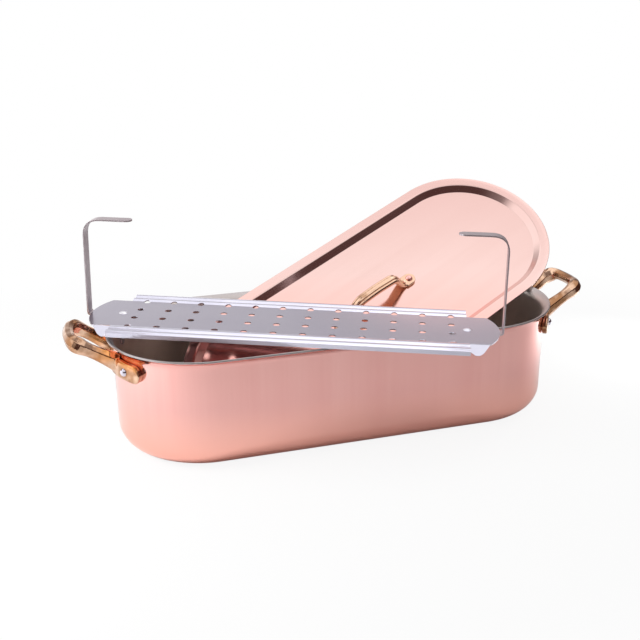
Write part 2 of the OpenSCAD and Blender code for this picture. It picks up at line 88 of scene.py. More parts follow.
class Finish:
    """The node tree of a material or a world, with one method that makes any node."""

    def __init__(self, owner):
        owner.use_nodes = True
        self.owner = owner
        self.tree = owner.node_tree

    def feed(self, socket, value):
        if isinstance(value, Signal):
            self.tree.links.new(value.socket, socket)
        else:
            socket.default_value = value

    def node(self, kind, settings=None, sockets=None, out=0):
        made = self.tree.nodes.new("ShaderNode" + kind)
        for key, value in (settings or {}).items():
            if key == "stops":
                self.set_stops(made.color_ramp.elements, value)
            else:
                setattr(made, key, value)
        for key, value in (sockets or {}).items():
            self.feed(made.inputs[key], value)
        return Signal(self, made.outputs[out])

    def set_stops(self, elements, stops):
        """Give a ramp its grey stops, each a place and a level."""
        for element, (place, level) in zip(elements, (stops[0], stops[-1])):
            element.position = place
            element.color = (level, level, level, 1)
        for place, level in stops[1:-1]:
            elements.new(place).color = (level, level, level, 1)

    def axis(self, letter, source="Object"):
        """One coordinate of a place on the piece, or of a direction in the world."""
        return self.node("SeparateXYZ", None, {0: self.node("TexCoord", out=source)}, letter)

    def ray(self, kind):
        return self.node("LightPath", out="Is " + kind + " Ray")

    def noise(self, scale, stretch=(1, 1, 1), turn=(0, 0, 0), detail=3):
        place = self.node("Mapping", {"vector_type": "TEXTURE"}, {
            "Vector": self.node("TexCoord", out="Object"), "Rotation": turn, "Scale": stretch})
        return self.node("TexNoise", None, {"Vector": place, "Scale": scale, "Detail": detail}, "Fac")

    def step(self, signal, low, high):
        """A signal that climbs from 0 at the low value to 1 at the high one."""
        return self.node("ValToRGB", {"stops": [(low, 0.0), (high, 1.0)]}, {"Fac": signal}, "Color")

    def blend(self, factor, first, second):
        """A colour between two, each of them a triple or a signal."""
        first, second = (c if isinstance(c, Signal) else (*c, 1) for c in (first, second))
        sockets = {0: factor, MIX_FIRST: first, MIX_SECOND: second}
        return self.node("Mix", {"data_type": "RGBA"}, sockets, MIX_COLOUR)

    def surface(self, bump=None, relief=0.0, **values):
        """Set the shader's values, with a bump that stands a relief high, and give the material."""
        shader = self.tree.nodes["Principled BSDF"]
        if bump:
            values["Normal"] = self.node(
                "Bump", None, {"Height": bump, "Strength": BUMP_STRENGTH, "Distance": relief})
        for key, value in values.items():
            self.feed(shader.inputs[key.replace("_", " ")], value)
        return self.owner

    def send(self, shader, output):
        self.feed(self.tree.nodes[output].inputs["Surface"], shader)


# %% [markdown]
# ## Tones
# A metal's colour is the colour of its reflections, so these are what each metal gives back of white
# light. The copper has a warmer tone for its lower parts, which is a painted warm glow, and the lid a
# darker one for its raised end, which is painted shade. The brass has a brown one for casting skin and
# two orange ones for a painted copper reflection and a painted warm glow, and the lining a grey one for
# the rim.

# %% Tones
# The third pan tone is a painted warm glow for the lower copper.
PAN_TONES = (0.87, 0.485, 0.450), (0.81, 0.415, 0.380), (1.0, 0.53, 0.44)
# The lid's third tone is a painted warm glow and its fourth, darker one is painted shade.
LID_TONES = (0.745, 0.556, 0.520), (0.700, 0.497, 0.460), (0.92, 0.40, 0.34), (0.650, 0.437, 0.405)
LINING_PALE = (0.85, 0.75, 0.70)
LINING_DARK = (0.75, 0.65, 0.60)
RIM_GREY = (0.46, 0.43, 0.43)
BRASS_BRIGHT = (0.725, 0.488, 0.350)
BRASS_BROWN = (0.36, 0.18, 0.09)
# Painted reflection of the copper wall on the left handle's roots.
PAINTED_COPPER_REFLECTION = (0.86, 0.34, 0.08)
# Painted warm glow on the underside of the lid's handle.
PAINTED_UNDERSIDE_GLOW = (0.95, 0.55, 0.32)
STEEL_BRIGHT = (0.72, 0.71, 0.82)
STEEL_GREY = (0.63, 0.62, 0.73)
RIVET_BRIGHT = (0.88, 0.88, 0.90)
STRAP_BRIGHT = (0.60, 0.53, 0.56)
STRAP_GREY = (0.46, 0.40, 0.43)
print("copper tones", len(PAN_TONES), "on the pan and", len(LID_TONES), "on the lid")

# %% [markdown]
# ## Copper and lining
# Copper sheet is rolled and then polished, which leaves fine lines and broader streaks in one direction,
# and hands leave duller clouds. Stretched noises make the lines and streaks. The height on the kettle
# decides where the copper gets a painted warm glow below or painted shade above, and where the lining
# meets the rim.

# %% Copper and lining
PAINTED_SHADE_FADE = 90 * MM
RIM_FADE = 12 * MM


def sheet_copper(name, tones, turn, stretch, painted_glow_height=0.0, painted_shade_height=0.0):
    """Polished copper in two tones, with a warmer third one below a height as a painted warm glow and a
    darker fourth one above a height as painted shade."""
    finish = Finish(bpy.data.materials.new(name))
    clouds = finish.step(finish.noise(scale=7, detail=4), 0.35, 0.75)
    lines = finish.noise(scale=420, stretch=stretch, turn=turn, detail=2)
    streaks = finish.step(finish.noise(scale=45, stretch=stretch, turn=turn), 0.35, 0.65)
    tone = finish.blend(0.4 * clouds + 0.4 * streaks + 0.3 * lines, *tones[:2])
    if painted_shade_height:
        # Painted shade: a darker tone above this height.
        high = finish.step(finish.axis("Z"), painted_shade_height - PAINTED_SHADE_FADE, painted_shade_height)
        tone = finish.blend(high, tone, tones[3])
    # Painted warm glow: a warmer, brighter tone below this height.
    if painted_glow_height:
        low = 1 - finish.step(finish.axis("Z") + 0.01 * clouds, 0.3 * painted_glow_height, painted_glow_height)
        tone = finish.blend(low, tone, tones[2])
    roughness = 0.08 + 0.05 * clouds + 0.09 * lines
    return finish.surface(lines, 0.006 * MM, Base_Color=tone, Metallic=1.0, Roughness=roughness)


def dull_lining(name, turn, rim=None):
    """Dull metal, turning greyer up to the height of a rim, if it has one."""
    finish = Finish(bpy.data.materials.new(name))
    clouds = finish.step(finish.noise(scale=11, detail=5), 0.3, 0.7)
    lines = finish.noise(scale=700, stretch=(1, 1, 40), turn=turn, detail=2)
    tone = finish.blend(clouds, LINING_PALE, LINING_DARK)
    if rim:
        tone = finish.blend(finish.step(finish.axis("Z"), rim - RIM_FADE, rim), tone, RIM_GREY)
    roughness = 0.34 + 0.10 * clouds + 0.08 * lines
    return finish.surface(lines, 0.03 * MM, Base_Color=tone, Metallic=1.0, Roughness=roughness)


# %% [markdown]
# ## Brass and steel
# The handles are cast and then filed bright by hand, so brown casting skin stays in places, and the
# surface waves a little. The left handle's roots mirror the copper beside them, so an orange painted
# reflection of that copper is put there. The underside of the lid's handle is left dull and gets a
# painted warm glow. The rack is satin steel, brushed along its length.

# %% Brass and steel
SKIN_TURN = (0, 0, 2.0)
SKIN_FADE = 0.2
REFLECTION_FADE = 20 * MM
REFLECTION_HEIGHTS = 106 * MM, 113 * MM
REFLECTION_STRENGTH = 0.75
UNDER_FACING = 0.38, 0.52
UNDERSIDE_GLOW_STRENGTH = 0.8
UNDER_ROUGH = 0.45


def cast_brass(name, clean, reflection_reach=0.0, above=None):
    """Polished brass that keeps brown casting skin where a noise passes the clean level. It has an orange
    painted reflection of the copper up to a reach left of the pan's middle, and is dull, with a painted
    warm glow, where it faces away from above."""
    finish = Finish(bpy.data.materials.new(name))
    skin = finish.step(finish.noise(scale=55, turn=SKIN_TURN, detail=6), clean, clean + SKIN_FADE)
    grain = finish.noise(scale=900)
    waves = finish.noise(scale=140, detail=1)
    tone = finish.blend(skin, BRASS_BRIGHT, BRASS_BROWN)
    roughness = 0.07 + 0.07 * skin + 0.05 * grain
    # Painted reflection: the brass turns orange near its roots, where it would mirror the copper wall.
    if reflection_reach:
        reach = 0.004 * skin - finish.axis("X")
        near = 1 - finish.step(reach, reflection_reach - REFLECTION_FADE, reflection_reach)
        painted_reflection = near * finish.step(finish.axis("Z"), *REFLECTION_HEIGHTS)
        tone = finish.blend(REFLECTION_STRENGTH * painted_reflection, tone, PAINTED_COPPER_REFLECTION)
    # Painted warm glow: where the brass faces away from above it turns orange, and it is also made
    # rougher.
    if above:
        normal = finish.node("NewGeometry", out="Normal")
        facing = finish.node("VectorMath", {"operation": "DOT_PRODUCT"}, {0: normal, 1: above}, "Value")
        under = 1 - finish.step(0.5 + 0.5 * facing, *UNDER_FACING)
        tone = finish.blend(UNDERSIDE_GLOW_STRENGTH * under, tone, PAINTED_UNDERSIDE_GLOW)
        roughness = roughness + UNDER_ROUGH * under
    return finish.surface(
        waves + 0.15 * grain, 0.2 * MM, Base_Color=tone, Metallic=1.0, Roughness=roughness)


def brushed_steel(name, bright, dark, roughness, turn, stretch=(50, 1, 1)):
    """Satin steel with fine lines along its stretch and darker clouds."""
    finish = Finish(bpy.data.materials.new(name))
    clouds = finish.step(finish.noise(scale=15, detail=4), 0.3, 0.75)
    lines = finish.noise(scale=1200, stretch=stretch, turn=turn, detail=2)
    tone = finish.blend(clouds, bright, dark)
    roughness = roughness + 0.06 * clouds + 0.08 * lines
    return finish.surface(lines, 0.02 * MM, Base_Color=tone, Metallic=1.0, Roughness=roughness)


# %% [markdown]
# ## Where the lid and the rack lie
# Both are symmetric plates, so the three main directions of their CAD vertices are their own length,
# width and height. Measuring them keeps this script true to the frame, however the lid leans.

# %% Axes of a plate
CENTRING_ROUNDS = 3


def from_axes(first, second, third, middle):
    """The matrix with these three axes and this middle."""
    matrix = Matrix.Identity(4)
    for column, axis in enumerate((first, second, third, middle)):
        matrix.col[column].xyz = axis
    return matrix


def plate_place(node):
    """Matrix from a flat piece's own length, width and height, with its top at zero, to the frame."""
    points = np.array([v.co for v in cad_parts[node].data.vertices])
    middle = (points.max(0) + points.min(0)) / 2
    for _ in range(CENTRING_ROUNDS):
        _, axes = np.linalg.eigh(np.cov((points - middle).T))
        along, up = axes[:, 2], axes[:, 0]
        along *= np.sign(along[0])
        up *= np.sign(up[2])
        across = np.cross(up, along)
        local = (points - middle) @ np.array([along, across, up]).T
        shift = (local.max(0) + local.min(0)) / 2
        middle = middle + shift @ np.array([along, across, up])
    top = middle + up * (local[:, 2].max() - shift[2])
    return from_axes(along, across, up, top)


lid_place = plate_place("lid_panel")
rack_place = plate_place("rack_plate")
lid_turn = tuple(lid_place.to_euler())
rack_turn = tuple(rack_place.to_euler())
print("lid top", [round(v, 4) for v in lid_place.translation])
print("rack top", [round(v, 4) for v in rack_place.translation])

# %% [markdown]
# ## Making a piece
# Every new piece goes the same way: a bmesh becomes an object, gets its finish, rides on the body that
# moves it, and stands for the CAD node it replaces. Edges sharper than an angle stay crisp, except on the
# castings, which are smooth all over.

# %% Pieces
CRISP_ANGLE = 35
ALL_SMOOTH = 180


def make_object(name, bm):
    mesh = bpy.data.meshes.new(name)
    bm.to_mesh(mesh)
    bm.free()
    made = bpy.data.objects.new(name, mesh)
    bpy.context.collection.objects.link(made)
    return made


def show(name, bm, body, node, finish, sharp=CRISP_ANGLE):
    """Make a bmesh a piece of the scene that stands for a CAD node."""
    piece = make_object(name, bm)
    mesh = piece.data
    mesh.shade_smooth()
    mesh.set_sharp_from_angle(angle=math.radians(sharp))
    mesh.materials.append(finish)
    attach(piece, body)
    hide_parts(node)
    print(name, len(mesh.polygons), "faces")


# %% [markdown]
# ## Oval sheet metal
# Pan and lid have the same section all the way round, as if the sheet were bent round an oval block.
# Spin turns the section about the middle of one end, an extrusion runs it along the side, and the same
# again closes the oval. Where the section touches the axis its points fall together, so doubles are
# merged before the normals are put right.

# %% Sections and ovals
OVAL_STEPS = 72
MERGE = 0.001 * MM


def arc(x, z, radius, start, end, steps=16):
    turns = (start + (end - start) * i / steps for i in range(steps + 1))
    return [(x + radius * math.cos(a), z + radius * math.sin(a)) for a in turns]


def chain(bm, points, closed=False):
    """New vertices at the points, and the edges that join them."""
    verts = [bm.verts.new(point) for point in points]
    after = verts[1:] + verts[:1] if closed else verts[1:]
    return verts, [bm.edges.new(pair) for pair in zip(verts, after)]


def extruded(bm, edges):
    """Extrude a row of edges, and give the new row's vertices and edges."""
    grown = bmesh.ops.extrude_edge_only(bm, edges=edges)["geom"]
    verts = [g for g in grown if isinstance(g, bmesh.types.BMVert)]
    new = set(verts)
    return verts, [g for g in grown if isinstance(g, bmesh.types.BMEdge) and new.issuperset(g.verts)]


def close_up(bm):
    bmesh.ops.remove_doubles(bm, verts=bm.verts, dist=MERGE)
    bmesh.ops.recalc_face_normals(bm, faces=bm.faces)


def oval(section, straight):
    """A mesh of the section carried round an oval with that straight stretch."""
    bm = bmesh.new()
    half = straight / 2
    _, edges = chain(bm, [(half, -r, z) for r, z in section])
    for end, run in ((half, -straight), (-half, straight)):
        turned = bmesh.ops.spin(
            bm, geom=edges, cent=(end, 0, 0), axis=UP, angle=math.pi, steps=OVAL_STEPS)
        edges = [g for g in turned["geom_last"] if isinstance(g, bmesh.types.BMEdge)]
        verts, edges = extruded(bm, edges)
        bmesh.ops.translate(bm, verts=verts, vec=(run, 0, 0))
    close_up(bm)
    return bm


# %% [markdown]
# ## The pan
# The copper is the outer skin, and the lining is a second sheet inside it that also wraps the cut edge
# of the rim, which shows on the real pan as a thin pale line. The rim flares in one arc, whose angle and
# radius follow from how far out and how high it goes.

# %% Pan
WALL_R = 97 * MM
STRAIGHT = 306 * MM
HEIGHT = 125 * MM
COPPER_T = 1.6 * MM
SHEET_T = 2.0 * MM
BASE_R = 24 * MM
FLARE_OUT = 6.7 * MM
FLARE_H = 10 * MM
FLARE_ANGLE = 2 * math.atan(FLARE_OUT / FLARE_H)
FLARE_R = FLARE_H / math.sin(FLARE_ANGLE)
FLARE_Z = HEIGHT - (FLARE_R + SHEET_T) * math.sin(FLARE_ANGLE)
# Height below which the pan's copper gets a painted warm glow.
PAN_PAINTED_GLOW_HEIGHT = 70 * MM
LINING_TOP = HEIGHT - 0.5 * MM
# The wrapped edge, as depths inside the outer face and distances past the cut, in millimetres.
RIM_WRAP = (2.0, 0.1), (1.7, 0.4), (1.0, 0.5), (0.3, 0.4), (-0.1, 0.0), (-0.1, -0.6), (1.6, -0.6)


def wall_section(depth):
    """The pan's section at a depth inside its outer face, from the middle of the base to the rim."""
    return ([(0, depth)]
            + arc(WALL_R - BASE_R, BASE_R, BASE_R - depth, -math.pi / 2, 0)
            + arc(WALL_R + FLARE_R, FLARE_Z, FLARE_R + depth, math.pi, math.pi - FLARE_ANGLE))


def rim_point(depth, past):
    """A point at the rim, at a depth inside the outer face and a distance past the cut edge."""
    x, z = wall_section(depth)[-1]
    return x + past * math.sin(FLARE_ANGLE), z + past * math.cos(FLARE_ANGLE)


pan_copper = sheet_copper("pan_copper", PAN_TONES, (0, 0, 0), (1, 1, 60), painted_glow_height=PAN_PAINTED_GLOW_HEIGHT)
pan_skin = oval(wall_section(0) + wall_section(COPPER_T)[::-1], STRAIGHT)
show("pan_copper_skin", pan_skin, "kettle", "kettle_shell", pan_copper)

pan_lining = dull_lining("pan_lining", (0, 0, 0), rim=LINING_TOP)
rim_wrap = [rim_point(depth * MM, past * MM) for depth, past in RIM_WRAP]
pan_inside = oval(wall_section(SHEET_T) + rim_wrap + wall_section(COPPER_T)[-2::-1], STRAIGHT)
show("pan_inner_lining", pan_inside, "kettle", "kettle_lining", pan_lining)

# %% [markdown]
# ## The lid
# The lid has the pan's oval, a flat flange, a sloped step and a sunk panel; the step makes thin sheet
# stiff. Its section is drawn once at its own height, made into an oval, and then laid into place with the
# measured matrix. Its low end, down in the pan, gets a painted warm glow, and its raised end painted
# shade.

# %% Lid
LID_R = WALL_R + FLARE_OUT + 1.4 * MM
LID_FLANGE = 9.8 * MM
LID_DROP = 7.5 * MM
EDGE_R = 0.5 * MM
STEP_ANGLE = math.radians(45)
STEP_TOP_R = 4 * MM
STEP_FOOT_R = 1.5 * MM
STEP_SUM = STEP_TOP_R + STEP_FOOT_R
STEP_SLOPE = (LID_DROP - STEP_SUM * (1 - math.cos(STEP_ANGLE))) / math.sin(STEP_ANGLE)
STEP_TOP_X = LID_R - LID_FLANGE
STEP_FOOT_X = STEP_TOP_X - STEP_SUM * math.sin(STEP_ANGLE) - STEP_SLOPE * math.cos(STEP_ANGLE)
LID_PAINTED_GLOW_HEIGHT = 140 * MM
# Height above which the lid's copper gets painted shade.
LID_PAINTED_SHADE_HEIGHT = 220 * MM


def lid_section(depth, reach=LID_R):
    """The lid's section at a depth below its top face, from its middle to a reach near its edge."""
    down = -math.pi / 2
    up = math.pi / 2
    foot_z = STEP_FOOT_R - LID_DROP
    return ([(0, -LID_DROP - depth)]
            + arc(STEP_FOOT_X, foot_z, STEP_FOOT_R + depth, down, down + STEP_ANGLE, steps=8)
            + arc(STEP_TOP_X, -STEP_TOP_R, STEP_TOP_R - depth, up + STEP_ANGLE, up, steps=8)
            + [(reach, -depth)])


def laid(bm):
    """Lay a bmesh made at the lid's own height into the lid's place."""
    bmesh.ops.transform(bm, matrix=lid_place, verts=bm.verts)
    return bm


lid_copper = sheet_copper(
    "lid_copper", LID_TONES, lid_turn, (60, 1, 1), painted_glow_height=LID_PAINTED_GLOW_HEIGHT, painted_shade_height=LID_PAINTED_SHADE_HEIGHT)
lid_edge = arc(LID_R - EDGE_R, -EDGE_R, EDGE_R, math.pi / 2, 0, steps=4)
lid_top = lid_section(0, LID_R - EDGE_R)[:-1] + lid_edge
lid_skin = laid(oval(lid_top + lid_section(COPPER_T)[::-1], STRAIGHT))
show("lid_copper_skin", lid_skin, "lid", "lid_panel", lid_copper)

lid_lining = dull_lining("lid_lining_metal", lid_turn)
lid_under = laid(oval(lid_section(COPPER_T) + lid_section(SHEET_T)[::-1], STRAIGHT))
show("lid_under_lining", lid_under, "lid", "lid_lining", lid_lining)

# %% [markdown]
# ## The castings
# Each handle is cast in one piece, so legs and pads run into each other. Rings are extruded from station
# to station along the bar, the pads are swept round the wall in the same way, and a voxel remesh with a
# little smoothing melts them together as a mould would.

# %% Sweeps and castings
MELT_FACTOR = 0.5
END_FLOOR = 0.02


def polygon_ring(sides, turn):
    return [(math.cos(a), math.sin(a)) for a in (2 * math.pi * (i + turn) / sides for i in range(sides))]


def flat_ring(points, square):
    """A ring between a circle and a box, for a flat bar with round edges."""
    return [(math.copysign(abs(x)**square, x), math.copysign(abs(y)**square, y))
            for x, y in polygon_ring(points, 0.5)]


def rounded(past):
    """The share of its width that a bar keeps between the start of its round end, 0, and its tip, 1."""
    return math.sqrt(max(END_FLOOR, 1 - max(0, past)**2))


def ring_matrix(point, along, up, wide, tall):
    """The place and half sizes of a ring on a bar that runs along a direction."""
    side = up.cross(along).normalized()
    rise = along.cross(side).normalized()
    return from_axes(side * wide, rise * tall, along.normalized() * MM, point)


def stations_along(points, up, size_at):
    """A ring at each point of a bar's middle line, with the half sizes that belong there."""
    out = []
    for i, point in enumerate(points):
        along = points[min(i + 1, len(points) - 1)] - points[max(i - 1, 0)]
        out.append(ring_matrix(point, along, up, *size_at(point)))
    return out


def sweep(bm, outline, stations):
    """Extrude an outline of a few points from station to station, and close both ends."""
    verts, edges = chain(bm, [(x, y, 0) for x, y in outline], closed=True)
    bmesh.ops.transform(bm, matrix=stations[0], verts=verts)
    bm.faces.new(verts)
    for last, here in zip(stations, stations[1:]):
        verts, edges = extruded(bm, edges)
        bmesh.ops.transform(bm, matrix=here @ last.inverted(), verts=verts)
    bmesh.ops.contextual_create(bm, geom=edges)
    bmesh.ops.recalc_face_normals(bm, faces=bm.faces)


def melted(bm, voxel, passes):
    """The bmesh after a voxel remesh and some smoothing, as a new bmesh."""
    rough = make_object("casting", bm)
    remesh = rough.modifiers.new("Remesh", "REMESH")
    remesh.mode = "VOXEL"
    remesh.voxel_size = voxel
    smooth = rough.modifiers.new("Smooth", "SMOOTH")
    smooth.factor = MELT_FACTOR
    smooth.iterations = passes
    done = rough.evaluated_get(bpy.context.evaluated_depsgraph_get()).to_mesh()
    out = bmesh.new()
    out.from_mesh(done)
    bpy.data.objects.remove(rough)
    return out


# %% [markdown]
# ## The end handles
# The legs rise outward from the pads, swell into knuckles and carry a bowed grip. An outline with eight
# sides keeps the soft facets of the casting. The bar's size is worked out along its line, thick at the
# root and swollen at the knuckle, as a pattern maker would carve it.

# %% Lines of the end handle
PAD_Z = 102 * MM
PAD_H = 20 * MM
PAD_T = 6.5 * MM
PAD_START, PAD_END = 12, 35  # degrees round the end wall
PAD_STEPS = 20
PAD_OUTLINE = flat_ring(points=16, square=0.45)
SEAT_GAP = 0.1 * MM
ROOT_SPREAD = 26 * MM
ROOT_OUT = 0.35 * PAD_T
ROOT_X = math.sqrt(WALL_R**2 - ROOT_SPREAD**2) + ROOT_OUT
ROOT_Z = PAD_Z + 4 * MM
ROOT_TAPER = 0.75
LEG_SPREAD = 30 * MM
LEG_STEPS = 8
CORNER_EASE = 0.45 * LEG_SPREAD
GRIP_X = WALL_R + 40.3 * MM
GRIP_Z = PAD_Z + 31.5 * MM
GRIP_BOW = 4 * MM
GRIP_STEPS = 4
BAR_T = 12.9 * MM
BAR_WIDE, BAR_TALL = 0.45, 0.55
BAR_OUTLINE = polygon_ring(sides=8, turn=0.5)
KNUCKLE = 4.5 * MM
KNUCKLE_OUT, KNUCKLE_LENGTH, KNUCKLE_WIDTH = 0.95, 0.2, 0.3


def loop_points(lift):
    """The middle line of legs and grip, from the front root to the rear one."""
    root = Vector((ROOT_X, -ROOT_SPREAD, ROOT_Z))
    top = Vector((GRIP_X, -LEG_SPREAD, GRIP_Z + lift))
    ease = (top - root).normalized() * CORNER_EASE
    half = [root.lerp(top - ease, i / LEG_STEPS) for i in range(LEG_STEPS)]
    for f in (i / LEG_STEPS for i in range(LEG_STEPS + 1)):
        half.append(top - ease * (1 - f)**2 + Vector((0, CORNER_EASE * f * f, 0)))
    for i in range(1, GRIP_STEPS + 1):
        half.append(top + Vector((0, CORNER_EASE + (LEG_SPREAD - CORNER_EASE) * i / GRIP_STEPS, 0)))
    out = []
    for point in half + [Vector((p.x, -p.y, p.z)) for p in half[-2::-1]]:
        on_grip = point.z > top.z - BAR_T / 2
        bow = GRIP_BOW * (1 - (point.y / LEG_SPREAD)**2) if on_grip else 0
        out.append(point + Vector((bow, 0, 0)))
    return out


def bar_size(point):
    """Half sizes of the bar: thick at the root, swollen at the knuckle."""
    out = (point.x - ROOT_X) / (GRIP_X - ROOT_X)
    across = abs(point.y) / LEG_SPREAD
    size = BAR_T + PAD_T * max(0, 1 - out / ROOT_TAPER)**2
    size += KNUCKLE * math.exp(
        -((out - KNUCKLE_OUT) / KNUCKLE_LENGTH)**2 - ((1 - across) / KNUCKLE_WIDTH)**2)
    return BAR_WIDE * size, BAR_TALL * size


def pad_stations(side):
    """Rings round the end wall, from near the middle of the handle to the pad's round end."""
    radius = WALL_R + SEAT_GAP + PAD_T / 2
    round_end = math.degrees(PAD_H / 2 / WALL_R)
    out = []
    for f in (i / PAD_STEPS for i in range(PAD_STEPS + 1)):
        angle = PAD_START + (PAD_END + round_end - PAD_START) * f
        tall = PAD_H / 2 * rounded((angle - PAD_END) / round_end)
        a = math.radians(side * angle)
        point = Vector((radius * math.cos(a), radius * math.sin(a), PAD_Z))
        along = Vector((-math.sin(a), math.cos(a), 0)) * side
        out.append(ring_matrix(point, along, UP, PAD_T / 2, tall))
    return out


# %% [markdown]
# ## Two end handles
# Both come from one pattern, the left one turned half round, but each grip is bent to a slightly
# different height. What would reach into the wall is moved out to it, so that pads and roots sit on the
# copper. Each handle has a brass of its own, because only the left one has an orange painted reflection
# of the copper at its roots.

# %% End handles
HANDLE_CLEAN = 0.39
REFLECTION_REACH = STRAIGHT / 2 + WALL_R + 28 * MM
RIGHT_LIFT = 2.0 * MM
LEFT_LIFT = -1.5 * MM


def end_handle(turn, lift):
    bm = bmesh.new()
    up = Vector((ROOT_Z - GRIP_Z, 0, GRIP_X - ROOT_X)).normalized()
    sweep(bm, BAR_OUTLINE, stations_along(loop_points(lift), up, bar_size))
    for side in (-1, 1):
        sweep(bm, PAD_OUTLINE, pad_stations(side))
    for vert in bm.verts:
        seat = (WALL_R + SEAT_GAP) / math.hypot(vert.co.x, vert.co.y)
        vert.co.xy *= max(1, seat)
    bm = melted(bm, voxel=0.6 * MM, passes=2)
    bmesh.ops.translate(bm, verts=bm.verts, vec=(STRAIGHT / 2, 0, 0))
    bmesh.ops.rotate(bm, verts=bm.verts, cent=(0, 0, 0), matrix=Matrix.Rotation(turn, 3, "Z"))
    return bm


# Only the left handle gets the painted copper reflection at its roots.
for name, turn, lift, reflection_reach in (("right_handle", 0, RIGHT_LIFT, 0),
                                 ("left_handle", math.pi, LEFT_LIFT, REFLECTION_REACH)):
    brass = cast_brass(name + "_brass", HANDLE_CLEAN, reflection_reach)
    show(name + "_casting", end_handle(turn, lift), "kettle", name, brass, ALL_SMOOTH)

# %% [markdown]
# ## The lid handle
# A bridge of flat bar with a ridge along its top stands on two feet, all in one casting. The same sweep
# makes it, with the ridge in the outline. Its brass is told which way the lid faces, so that the
# underside can stay dull and take a painted warm glow.

# %% Lid handle
RIVET_SPAN = 110 * MM
FOOT_W = 16 * MM
FOOT_T = 4 * MM
FOOT_STEPS = 16
FOOT_OUTLINE = flat_ring(points=16, square=0.4)
LID_BAR_SPAN = 56 * MM
LID_BAR_H = 28 * MM
LID_BAR_W = 13 * MM
LID_BAR_T = 8 * MM
LID_BAR_EASE = 0.9 * LID_BAR_T
LID_BAR_CLEAN = 0.54
# Half of the bar's outline, as shares of its half width and half thickness.
LID_BAR_HALF = [(0.8, -1), (1, -0.5), (1, 0.25), (0.78, 0.62),
                (0.56, 0.66), (0.46, 0.40), (0.36, 0.86), (0.12, 1)]
LID_BAR_OUTLINE = LID_BAR_HALF + [(-x, y) for x, y in LID_BAR_HALF[::-1]]


def eased(corners, ease, steps=8):
    """A polyline with its inner corners rounded."""
    out = [corners[0]]
    for before, here, after in zip(corners, corners[1:], corners[2:]):
        start = here + (before - here).normalized() * ease
        end = here + (after - here).normalized() * ease
        for f in (i / steps for i in range(steps + 1)):
            out.append(start.lerp(here, f).lerp(here.lerp(end, f), f))
    return out + [corners[-1]]


def lid_bar_points():
    """The middle line of the bridge, from foot to foot."""
    inner = RIVET_SPAN / 2 - FOOT_W / 2 - LID_BAR_T / 2
    half = [(RIVET_SPAN / 2 - FOOT_W / 4, FOOT_T / 2), (inner, FOOT_T / 2),
            (LID_BAR_SPAN / 2, LID_BAR_H - LID_BAR_T / 4)]
    corners = [(-x, z) for x, z in half] + [(0, LID_BAR_H)] + half[::-1]
    return eased([Vector((x, 0, z - LID_DROP + SEAT_GAP)) for x, z in corners], LID_BAR_EASE)


def lid_bar_size(point):
    """Half sizes of the bridge, which thins towards its feet."""
    rise = min(1, (point.z + LID_DROP) / (LID_BAR_H / 2))
    return LID_BAR_W / 2, FOOT_T / 2 + (LID_BAR_T - FOOT_T) / 2 * rise


def foot_stations(side):
    """Rings along a foot, to its round outer end."""
    out = []
    for i in range(FOOT_STEPS + 1):
        along = i / FOOT_STEPS - 0.5
        wide = FOOT_W / 2 * rounded(along / 0.5)
        x = side * (RIVET_SPAN / 2 + along * FOOT_W)
        point = Vector((x, 0, SEAT_GAP + FOOT_T / 2 - LID_DROP))
        out.append(ring_matrix(point, Vector((side, 0, 0)), UP, wide, FOOT_T / 2))
    return out


bridge = bmesh.new()
sweep(bridge, LID_BAR_OUTLINE, stations_along(lid_bar_points(), UP, lid_bar_size))
for side in (-1, 1):
    sweep(bridge, FOOT_OUTLINE, foot_stations(side))
bridge = laid(melted(bridge, voxel=0.32 * MM, passes=1))
lid_brass = cast_brass("lid_handle_brass", LID_BAR_CLEAN, above=tuple(lid_place.col[2].xyz))
show("lid_handle_casting", bridge, "lid", "lid_handle", lid_brass, ALL_SMOOTH)

# %% [markdown]
# ## Rivets
# A rivet is pushed through its holes and hammered to a dome, with a flat head on the far side. Here it is
# a small section spun right round, with merging so that the seam closes.

# %% Rivet
RIVET_HEAD_R = 4.5 * MM
RIVET_R = 2.5 * MM
RIVET_DOME = 3.2 * MM
RIVET_TAIL = 1.2 * MM
TAIL_SIDE = 0.7 * RIVET_TAIL
TAIL_END_R = 0.9 * RIVET_HEAD_R
DOME_INSET = 0.2 * MM
DOME_SINK = 0.05 * MM
RIVET_STEPS = 40


def rivet(place, grip):
    """A rivet that holds a grip's thickness of metal, with the foot of its dome at the place."""
    bm = bmesh.new()
    curve = (RIVET_HEAD_R**2 + RIVET_DOME**2) / (2 * RIVET_DOME)
    rim = math.asin(RIVET_HEAD_R / curve)
    end = -grip - RIVET_TAIL
    section = arc(0, RIVET_DOME - curve, curve, math.pi / 2, math.pi / 2 - rim, steps=10)
    section += [(RIVET_HEAD_R - DOME_INSET, -DOME_SINK), (RIVET_R, -DOME_SINK), (RIVET_R, -grip),
                (RIVET_HEAD_R, -grip), (RIVET_HEAD_R, -grip - TAIL_SIDE), (TAIL_END_R, end), (0, end)]
    _, edges = chain(bm, [(r, 0, z) for r, z in section])
    bmesh.ops.spin(bm, geom=edges, cent=(0, 0, 0), axis=UP, angle=2 * math.pi, steps=RIVET_STEPS,
                   use_merge=True)
    close_up(bm)
    bmesh.ops.transform(bm, matrix=place, verts=bm.verts)
    return bm


# %% [markdown]
# ## Six rivets
# Four steel rivets hold the pads of the end handles, and two of copper hold the feet of the lid's handle.
# A pad's rivet is turned to stand square on the round wall.

# %% Rivets
PLAIN = (1, 1, 1)
PAD_RIVET_ANGLE = math.radians(28)
PAD_R = WALL_R + PAD_T + SEAT_GAP
PAD_GRIP = PAD_R + SEAT_GAP - math.sqrt((WALL_R - SHEET_T)**2 - RIVET_HEAD_R**2)
LID_GRIP = FOOT_T + SHEET_T + 2 * SEAT_GAP

